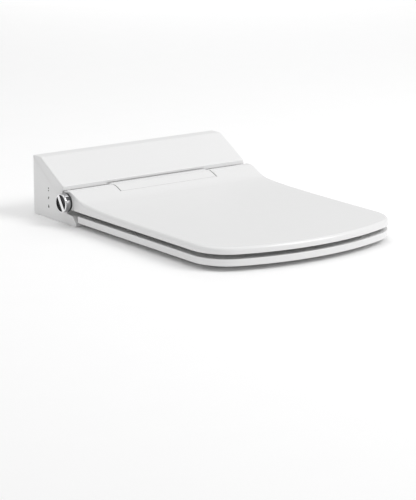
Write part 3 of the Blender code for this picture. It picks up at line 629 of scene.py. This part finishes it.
def make_ring():
    """The ring: a hollow trough with rounded edges, with its two arms and the nozzle's notch."""
    bm = bmesh.new()
    loops = [level(bm, ring_outer(0.0005), RING_BOTTOM_Z),
             level(bm, ring_outer(0.0), RING_BOTTOM_Z + 0.0005)]
    for k in range(8):
        turn = math.pi / 2 * k / 7
        loops.append(level(bm, ring_outer(RING_EDGE_R * (1 - math.cos(turn))),
                           RING_TOP_Z - RING_EDGE_R * (1 - math.sin(turn))))
    for share in (0.2, 0.35, 0.5, 0.65):
        loops.append(level(bm, blended(share), RING_TOP_Z))
    for k in range(12):
        turn = math.pi / 2 * k / 11
        loops.append(level(bm, ring_hole(RING_INNER_R * 1.6 * (1 - math.sin(turn))),
                           RING_TOP_Z - RING_INNER_R * (1 - math.cos(turn))))
    for outline, height in ((ring_hole(0.0), RING_BOTTOM_Z + 0.0005),
                            (ring_hole(0.0005), RING_BOTTOM_Z),
                            (ring_hole(WALL), RING_BOTTOM_Z),
                            (ring_hole(WALL), RING_TOP_Z - 0.0085),
                            (ring_hole(0.0085), RING_TOP_Z - 0.0062),
                            (ring_outer(0.0075), RING_TOP_Z - 0.0036),
                            (ring_outer(WALL), RING_TOP_Z - 0.0050),
                            (ring_outer(WALL), RING_BOTTOM_Z)):
        loops.append(level(bm, outline, height))
    skin(bm, loops, closed=True)
    steps = [add(ring_arm(side)) for side in (-1, 1)]
    steps += [cut(pin_bore(side)) for side in (-1, 1)]
    steps.append(cut(block((-NOTCH_HALF, NOTCH_FRONT_Y, 0.0), (NOTCH_HALF, NOTCH_REAR_Y, 0.0128),
                           bevel=0.0015)))
    put("seat_ring", carve(bm, steps), "ring", "white_ring", ["seat_ring_upper"], sharp_deg=32)


def make_ring_plate():
    """The under-plate that closes the ring's trough."""
    bm = bmesh.new()
    inset = WALL + 0.0005
    edge = 0.0004
    under, over = RING_BOTTOM_Z + 0.0004, RING_BOTTOM_Z + 0.0026
    loops = [level(bm, ring_outer(inset + edge), under),
             level(bm, ring_outer(inset), under + edge),
             level(bm, ring_outer(inset), over),
             level(bm, ring_hole(inset), over - 0.0008),
             level(bm, ring_hole(inset), under + edge),
             level(bm, ring_hole(inset + edge), under)]
    skin(bm, loops, closed=True)
    top = 0.02
    notch_half = NOTCH_HALF + 0.0025
    steps = [cut(block((-notch_half, NOTCH_FRONT_Y, 0.0), (notch_half, NOTCH_REAR_Y, top)))]
    for side in (-1, 1):
        low, high = sorted((side * (ARM_NEAR_X - 0.0010), side * (ARM_FAR_X + 0.0010)))
        steps.append(cut(block((low, -0.1430, 0.0), (high, NOTCH_REAR_Y, top))))
    put("seat_under_plate", carve(bm, steps), "ring", "white_ring", ["seat_ring_lower"])


def make_bumpers():
    """Soft buffers under the lid and under the ring, each a domed pad on a collar."""
    for body in ("lid", "ring"):
        for number in range(1, 5):
            node = "%s_bumper_%d" % (body, number)
            low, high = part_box(node)
            radius, length = (high.x - low.x) / 2, high.z - low.z
            dome = min(0.0016, length * 0.3)
            profile = [(0.0, 0.0), (0.0, radius * 0.55)]
            for k in range(7):
                turn = math.pi / 2 * k / 6
                profile.append((dome * (1 - math.cos(turn)),
                                radius * 0.55 + radius * 0.33 * math.sin(turn)))
            profile += [(length - 0.0012, radius * 0.90), (length - 0.0010, radius),
                        (length, radius), (length, 0.0)]
            start = ((low.x + high.x) / 2, (low.y + high.y) / 2 - BACK_Y, low.z)
            put("%s_buffer_%d" % (body, number), turned(profile, start, (0, 0, 1), sides=40),
                body, "soft_rubber", [node])


# ---------------------------------------------------------------- rear casing
def cheek_top(y):
    """Top of the cheeks beside the hinge bay, just under the lid's skin."""
    return lid_top(y, 0.0) - WALL - CHEEK_GAP


def case_profile():
    """Side view of the casing with its rounded corners, the hinge bay, the cheek and the foot."""
    corners = [((0.0, 0.0), 0.0010), ((0.0, CASE_HEIGHT), 0.0022),
               ((-CASE_TOP_DEPTH, CASE_HEIGHT), 0.0140), ((LIP_Y + 0.0009, LIP_TOP_Z), 0.0018),
               ((LIP_Y + 0.0007, LIP_Z + 0.0001), 0.0), ((LIP_Y + 0.0005, LIP_Z - 0.0024), 0.0006)]
    corners += [(p, 0.0) for p in arc(HINGE_Y, HINGE_Z, HINGE_BAY_R, 61, BAY_END_DEG, 20)]
    corners += [(p, 0.0) for p in arc(HINGE_Y, HINGE_Z, CHEEK_EYE_R, BAY_END_DEG, 0, 18)]
    corners += [((y, cheek_top(y)), 0.0) for y in (-0.1120, -0.1150, -0.1180)]
    corners += [((CHEEK_FRONT_Y, cheek_top(CHEEK_FRONT_Y)), 0.0012),
                ((CHEEK_FRONT_Y, CHEEK_BOTTOM_Z), 0.0010), ((-0.1030, CHEEK_BOTTOM_Z), 0.0010),
                ((-0.1012, 0.0222), 0.0), ((-0.1030, 0.0185), 0.0010), ((-0.1205, 0.0165), 0.0022),
                ((FOOT_FRONT_Y, 0.0057), 0.0022), ((FOOT_FRONT_Y + 0.0015, 0.0), 0.0010)]
    return fillet([c[0] for c in corners], [c[1] for c in corners])


def case_edge(p):
    """Rounding of the casing's side edges: tight round the hinge, softer along the slope and top."""
    return 0.0006 + 0.0021 * ease((p.y - 0.0535) / 0.0075)


def hinge_bay():
    """A cutter for the space between the cheeks, where the lid's rear edge and the ring's arms turn."""
    front, below = -0.14, -0.01
    profile = [(front, below), (BAY_WALL_Y, below), (BAY_WALL_Y, 0.0359)]
    profile += list(reversed(arc(HINGE_Y, HINGE_Z, HINGE_BAY_R, 90, 150, 16)))
    profile += [(HINGE_Y, HINGE_Z + 0.009), (front, LIP_Z + 0.004)]
    return slab_x(profile, -BAY_X, BAY_X)


def case_hollow():
    """A cutter for the inside of the casing, which is open below."""
    front, below = -0.0938, -0.01
    profile = [(front, below), (front, 0.0330)]
    profile += list(reversed(arc(HINGE_Y, HINGE_Z, HINGE_BAY_R + WALL, 60, 145, 12)))
    profile += [(-0.0885, 0.0598), (-0.0240, CASE_HEIGHT - WALL), (-WALL, CASE_HEIGHT - WALL),
                (-WALL, below)]
    return slab_x(profile, -HALF_WIDTH + WALL, HALF_WIDTH - WALL)


def rear_hole(node, gap):
    """A cutter for a chamfered hole in the back, round a fitting."""
    radius, centre = rear_end(node)
    radius += gap
    flare = radius + 0.0010
    profile = [(0, 0), (0, flare), (0.0045, flare), (0.0056, radius), (0.011, radius), (0.011, 0)]
    return turned(profile, (centre.x, 0.005, centre.z), (0, -1, 0), sides=56)


def button_hole():
    low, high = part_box("release_button")
    gap = 0.0004
    return block((HALF_WIDTH - 0.006, low.y - BACK_Y - gap, low.z - gap),
                 (HALF_WIDTH + 0.01, high.y - BACK_Y + gap, high.z + gap), bevel=0.0012)


def rear_step(side):
    """A cutter for the shallow step down a rear side edge."""
    low, high = sorted((side * (HALF_WIDTH - REAR_STEP_IN), side * (HALF_WIDTH + 0.01)))
    return block((low, -REAR_STEP_DEPTH, -0.01), (high, 0.01, CASE_HEIGHT - REAR_STEP_DEPTH))


def lip_groove():
    """A cutter for the shallow groove in the lip over the hinge cover."""
    half = COVER_HALF + COVER_SLOT
    return block((-half, LIP_Y - LIP_GROOVE_REACH, 0.0530), (half, LIP_Y + LIP_GROOVE_REACH, 0.0574))


def make_casing():
    """The casing: a shell with the hinge bay, its bores and the openings in its faces."""
    tools = [hinge_bay(), case_hollow(), pin_bore(-1), pin_bore(1),
             bore(0.0034, 0.035, (-0.19, KNOB_Y, KNOB_Z), (1, 0, 0), 40),
             bore(0.0048, 0.023, (-0.178, KNOB_Y, KNOB_Z), (1, 0, 0), 40),
             bore(0.0086, 0.010, (0.0, -0.1000, NOZZLE_MOUTH.z + 0.0005), (0, 1, 0), 48),
             rear_hole("inlet_fitting", 0.0016), rear_hole("power_gland", 0.0004),
             button_hole(), rear_step(-1), rear_step(1), lip_groove()]
    shell = slab_x(case_profile(), -HALF_WIDTH, HALF_WIDTH, edge=case_edge)
    put("rear_casing", carve(shell, [cut(tool) for tool in tools]), "casing", "white_casing",
        ["rear_cover"], sharp_deg=28)


# ---------------------------------------------------------------- control knob
GRIP_LEAN = math.radians(56)   # the grip bar leans up and back from the horizontal
GRIP_HALF = 0.0032
SCOOP_R = KNOB_R - 0.0016
SCOOP_CENTRE = 0.0078          # from the knob's axis, where a scoop's half-moons shrink to
SCOOP_WALL = [(0.0035, 0.93), (0.0060, 0.78), (0.0075, 0.45)]   # depth, and share of full size
CAP_EDGE_R = 0.0010
CAP_DEPTH = 0.0019             # the chromed cap's side, in front of the fluted skirt
SKIRT_FLUTES = 72
FLUTE_DEPTH = 0.00028


def half_moon(side):
    """Outline of one scoop beside the grip bar, in the plane of the knob's face."""
    points = []
    start = math.asin(GRIP_HALF / SCOOP_R)
    for k in range(25):
        angle = start + (math.pi - 2 * start) * k / 24
        points.append(Vector((SCOOP_R * math.cos(angle), side * SCOOP_R * math.sin(angle))))
    return points


def scoop_form(side, rows):
    """A closed form of half-moons, each at a depth below the knob's face and a share of full size."""
    bm = bmesh.new()
    centre = Vector((0.0, side * SCOOP_CENTRE))
    loops = []
    for depth, share in rows:
        loop = []
        for p in half_moon(side):
            q = centre + (p - centre) * share
            u = q.x * math.cos(GRIP_LEAN) - q.y * math.sin(GRIP_LEAN)
            v = q.x * math.sin(GRIP_LEAN) + q.y * math.cos(GRIP_LEAN)
            loop.append(bm.verts.new((KNOB_FACE_X + depth, KNOB_Y + u, KNOB_Z + v)))
        loops.append(loop)
    capped_skin(bm, loops)
    return bm


def scoop(side):
    """A cutter for one scoop: narrow at its floor and wide at the face."""
    return scoop_form(side, [(-0.002, 1.06), (0.0, 1.0)] + SCOOP_WALL)


def scoop_painted_shade_lining(side):
    """A thin dark lining that follows a scoop's wall: painted shade and painted dark reflection in the
    scoop's hollow.
    """
    wall = [(0.0002, 0.995)] + SCOOP_WALL
    outside = [(depth - 0.00005, share - 0.004) for depth, share in reversed(wall)]
    inside = [(max(0.0001, depth - 0.00025), share - 0.03) for depth, share in wall]
    return scoop_form(side, outside + inside)


def knob_painted_reflection():
    """A small dark patch in the knob's skirt, towards the front and top: a painted dark reflection on the
    metal, not a real window or mark.
    """
    near, far = 0.0030, 0.0098
    inner, outer = KNOB_R - 0.0008, KNOB_R - 0.00005
    angles = [math.radians(40 + 25 * k / 10) for k in range(11)]
    bm = bmesh.new()
    loops = []
    for x, radius in ((near, inner), (near, outer), (far, outer), (far, inner)):
        loops.append([bm.verts.new((KNOB_FACE_X + x, KNOB_Y - radius * math.sin(a),
                                    KNOB_Z + radius * math.cos(a))) for a in angles])
    for first, second in zip(loops, loops[1:] + loops[:1]):
        for i in range(len(angles) - 1):
            bm.faces.new((first[i], first[i + 1], second[i + 1], second[i]))
    bm.faces.new([loop[0] for loop in loops])
    bm.faces.new([loop[-1] for loop in loops])
    return bm


def on_knob(profile, sides, ripple=None):
    """A lathe piece on the knob's axis, measured inwards from its face."""
    return turned(profile, (KNOB_FACE_X, KNOB_Y, KNOB_Z), (1, 0, 0), sides=sides, ripple=ripple)


def flute(angle, index):
    """Ripple of the skirt's two outer rows."""
    return -FLUTE_DEPTH * (0.5 + 0.5 * math.cos(SKIRT_FLUTES * angle)) if index in (2, 3) else 0.0


def make_knob():
    """Chromed cap with a grip bar between two scoops, on a fluted skirt and a dark collar; the scoops
    carry painted shade and the skirt a patch of painted dark reflection.
    """
    length = -HALF_WIDTH - KNOB_FACE_X
    stem_r, stem_end = KNOB_R - 0.0010, length - 0.0036
    cap = [(0.0, 0.0), (0.0, KNOB_R - 0.0012)]
    for k in range(1, 7):
        turn = math.pi / 2 * k / 6
        cap.append((CAP_EDGE_R * (1 - math.cos(turn)), KNOB_R - CAP_EDGE_R * (1 - math.sin(turn))))
    cap += [(CAP_DEPTH - 0.0003, KNOB_R), (CAP_DEPTH, KNOB_R - 0.0004), (CAP_DEPTH, stem_r),
            (stem_end, stem_r), (stem_end, 0.0)]
    cap_form = carve(on_knob(cap, 96), [cut(scoop(side)) for side in (-1, 1)])
    put("knob_cap", cap_form, "knob", "chrome_knob", ["control_knob"], sharp_deg=30)

    start, end = CAP_DEPTH + 0.0002, length - 0.0034
    skirt = [(start, KNOB_R - 0.0009), (start, KNOB_R - 0.0004), (start + 0.0005, KNOB_R - 0.0002),
             (end - 0.0004, KNOB_R - 0.0002), (end, KNOB_R - 0.0004), (end, KNOB_R - 0.0009),
             (start, KNOB_R - 0.0009)]
    put("knob_skirt", on_knob(skirt, SKIRT_FLUTES * 4, flute), "knob", "chrome_knob", mat=GRIP_FINISH)
    # the scoop linings are painted shade and painted dark reflection in the scoops' hollows
    painted_shade_linings = join([scoop_painted_shade_lining(side) for side in (-1, 1)])
    put("knob_scoops_painted_shade", painted_shade_linings, "knob", "chrome_knob", mat=SCOOP_PAINTED_SHADE_FINISH)
    # the dark patch on the skirt is a painted dark reflection
    put("knob_painted_reflection", knob_painted_reflection(), "knob", "dark_plastic")

    start, end = length - 0.0032, length - 0.0006
    collar = [(start, KNOB_R - 0.0030), (start, KNOB_R - 0.0006), (start + 0.0003, KNOB_R - 0.0003),
              (end, KNOB_R - 0.0003), (end, KNOB_R - 0.0030), (start, KNOB_R - 0.0030)]
    put("knob_collar", on_knob(collar, 96), "knob", "dark_plastic")


# ---------------------------------------------------------------- marks on the left side
def mark_plate(outline, centre_y, centre_z):
    """A thin inlay on the left side; the outline is given in the plane of the side."""
    bm = bmesh.new()
    loops = []
    for x in (-HALF_WIDTH + 0.0020, -HALF_WIDTH - 0.00006):
        loops.append([bm.verts.new((x, centre_y + u, centre_z + v)) for u, v in outline])
    capped_skin(bm, loops)
    return bm


def disc(radius, height, sides=24):
    """Outline of a dot at a height above the mark's centre."""
    angles = [2 * math.pi * k / sides for k in range(sides)]
    return [(radius * math.cos(a), height + radius * math.sin(a)) for a in angles]


def join(parts):
    """Several closed bmeshes as one."""
    whole = bmesh.new()
    for part in parts:
        mesh = bpy.data.meshes.new("part")
        part.to_mesh(mesh)
        part.free()
        whole.from_mesh(mesh)
        bpy.data.meshes.remove(mesh)
    return whole


def make_marks():
    """Three plain lit marks: two dots, a slanted dash and a drop."""
    centres = []
    for number in (1, 2, 3):
        low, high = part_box("panel_light_%d" % number)
        centres.append(((low.y + high.y) / 2 - BACK_Y, (low.z + high.z) / 2))
    y, z = centres[0]
    dot_r, dot_height = 0.0013, 0.0020
    dots = join([mark_plate(disc(dot_r, v), y, z) for v in (dot_height, -dot_height)])
    put("mark_dots", dots, "casing", "panel_light", ["panel_light_1"])
    y, z = centres[1]
    lean = math.radians(55)
    long, short = 0.0024, 0.0011
    dash = fillet([(-long, -short), (long, -short), (long, short), (-long, short)], [0.0006] * 4, steps=4)
    turned_dash = [(-(p.x * math.cos(lean) - p.y * math.sin(lean)),
                    p.x * math.sin(lean) + p.y * math.cos(lean)) for p in dash]
    put("mark_dash", mark_plate(turned_dash, y, z), "casing", "panel_light", ["panel_light_2"])
    y, z = centres[2]
    drop_r, drop_tip = 0.0019, 0.0034
    drop = [(0.0, drop_tip)]
    for k in range(19):
        angle = math.radians(30 - 240 * k / 18)
        drop.append((drop_r * math.cos(angle), -0.0006 + drop_r * math.sin(angle)))
    put("mark_drop", mark_plate(drop, y, z), "casing", "panel_light", ["panel_light_3"])


# ---------------------------------------------------------------- nozzle
def along_nozzle(distance):
    return NOZZLE_MOUTH + Vector((0.0, math.cos(NOZZLE_TILT), math.sin(NOZZLE_TILT))) * distance


def make_nozzle():
    """The telescopic nozzle: a sleeve with a wiper ring, and a round-nosed wand with its jets."""
    axis = along_nozzle(1.0) - along_nozzle(0.0)
    inner, outer, length = 0.0053, 0.0070, 0.078
    sleeve = [(0.0004, inner), (0.0, inner + 0.0004), (0.0, outer - 0.0004), (0.0004, outer),
              (0.0040, outer), (0.0043, outer - 0.0003), (0.0052, outer - 0.0003), (0.0055, outer),
              (length, outer), (length, inner), (0.0004, inner)]
    put("nozzle_outer_tube", turned(sleeve, NOZZLE_MOUTH, axis, sides=64), "nozzle_outer",
        "white_nozzle", ["nozzle_sleeve"])
    nose, radius, length = -0.0015, 0.0049, 0.076
    wand = [(nose, 0.0)]
    for k in range(1, 9):
        turn = math.pi / 2 * k / 8
        wand.append((nose + 0.0030 * (1 - math.cos(turn)), radius * math.sin(turn)))
    wand += [(0.0150, radius), (0.0153, radius - 0.0003), (0.0160, radius - 0.0003), (0.0163, radius),
             (length, radius), (length, 0.0)]
    up = Vector((0.0, -math.sin(NOZZLE_TILT), math.cos(NOZZLE_TILT)))
    jets = []
    for along, across in ((0.0052, 0.0), (0.0076, 0.0013), (0.0076, -0.0013), (0.0100, 0.0)):
        start = along_nozzle(along) + Vector((across, 0, 0)) + up * 0.0036
        jets.append(cut(bore(0.00045, 0.003, start, up, 16)))
    put("nozzle_inner_wand", carve(turned(wand, NOZZLE_MOUTH, axis, sides=64), jets), "nozzle_inner",
        "white_nozzle", ["nozzle_wand"])


# ---------------------------------------------------------------- fittings
def make_inlet():
    """The water inlet: a threaded socket with a chamfered rim."""
    radius, centre = rear_end("inlet_fitting")
    length, thread_end = 0.029, 0.0140
    crest, root, pitch, turns = 0.0062, 0.0069, 0.0016, 7
    outer = turned([(0.0, 0.0), (0.0, radius - 0.0008), (0.0008, radius), (length, radius), (length, 0.0)],
                   centre, (0, -1, 0), sides=64)
    socket = [(-0.001, 0.0), (-0.001, 0.0082), (0.0, 0.0074), (0.0008, 0.0066)]
    for k in range(turns):
        base = 0.0016 + pitch * k
        socket += [(base + pitch * 0.25, root), (base + pitch * 0.75, crest)]
    socket += [(thread_end, crest), (thread_end, 0.0)]
    put("water_inlet", carve(outer, [cut(turned(socket, centre, (0, -1, 0), sides=64))]), "casing",
        "steel", ["inlet_fitting"])


def make_gland():
    """The power cable's outlet: a grommet with a shallow ring round its mouth."""
    radius, centre = rear_end("power_gland")
    length = 0.017
    profile = [(0.0, 0.0), (0.0, 0.0036), (0.0, 0.0046), (0.0003, 0.0048), (0.0003, 0.0056),
               (0.0, 0.0058), (0.0006, radius), (length, radius), (length, 0.0)]
    body = turned(profile, centre, (0, -1, 0), sides=48)
    mouth = turned([(-0.001, 0.0), (-0.001, 0.0044), (0.0006, 0.0036), (0.0115, 0.0034), (0.0115, 0.0)],
                   centre, (0, -1, 0), sides=48)
    put("cable_grommet", carve(body, [cut(mouth)]), "casing", "dark_plastic", ["power_gland"])


def make_button():
    """The release button with three grip grooves."""
    low, high = [corner - Vector((0, BACK_Y, 0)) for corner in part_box("release_button")]
    body = block(low, high, bevel=0.0009, segments=4)
    margin, spacing = 0.0015, 0.0030
    grooves = []
    for k in (-1, 0, 1):
        start = (high.x + 0.0003, (low.y + high.y) / 2 + k * spacing, low.z + margin)
        grooves.append(cut(bore(0.0007, high.z - low.z - 2 * margin, start, (0, 0, 1), 20)))
    put("release_key", carve(body, grooves), "button", "white_casing", ["release_button"])


make_casing()
make_lid()
make_hinge_cover()
make_ring()
make_ring_plate()
make_bumpers()
make_knob()
make_marks()
make_nozzle()
make_inlet()
make_gland()
make_button()


# ---------------------------------------------------------------- floor, light and camera
def make_floor():
    """A plain pale floor at the height of the bowl rim."""
    bm = bmesh.new()
    bmesh.ops.create_grid(bm, x_segments=8, y_segments=8, size=9.0)
    mesh = bpy.data.meshes.new("floor")
    bm.to_mesh(mesh)
    bm.free()
    mesh.materials.append(finish("pale_floor", (0.96, 0.96, 0.96), 0.9, tint=0.003, grain=60.0))
    floor = bpy.data.objects.new("floor", mesh)
    bpy.context.scene.collection.objects.link(floor)


def make_light(name, place, target, size, watts):
    """A round soft light that faces a target."""
    data = bpy.data.lights.new(name, "AREA")
    data.shape = "DISK"
    data.size = size
    data.energy = watts
    lamp = bpy.data.objects.new(name, data)
    lamp.location = place
    lamp.rotation_euler = (Vector(target) - Vector(place)).to_track_quat("-Z", "Y").to_euler()
    bpy.context.scene.collection.objects.link(lamp)
    return lamp


def make_world():
    """An even pale sky."""
    world = bpy.data.worlds.new("studio")
    world.use_nodes = True
    bpy.context.scene.world = world
    sky = world.node_tree.nodes["Background"]
    sky.inputs["Color"].default_value = (1, 1, 1, 1)
    sky.inputs["Strength"].default_value = 0.60


def make_camera():
    """A long lens from the front left and a little above."""
    data = bpy.data.cameras.new("camera")
    data.lens = 149.27
    data.sensor_width = 36.0
    data.clip_end = 60.0
    camera = bpy.data.objects.new("camera", data)
    camera.location = (-1.94452, -2.89612 + BACK_Y, 0.78560)
    looking = Vector((0.572867, 0.782472, -0.244050))
    camera.rotation_euler = looking.to_track_quat("-Z", "Y").to_euler()
    bpy.context.scene.collection.objects.link(camera)
    bpy.context.scene.camera = camera


make_floor()
make_world()
make_light("key", (1.6, -2.0, 2.4), (0.0, -0.2, 0.0), 1.8, 47.0)
make_light("top", (-0.3, 0.2, 2.8), (0.0, -0.2, 0.0), 2.4, 17.0)
make_light("backdrop", (2.3, 3.0, 2.0), (2.3, 3.0, 0.0), 2.4, 26.0).visible_glossy = False
make_camera()
bpy.context.scene.view_settings.view_transform = "Standard"
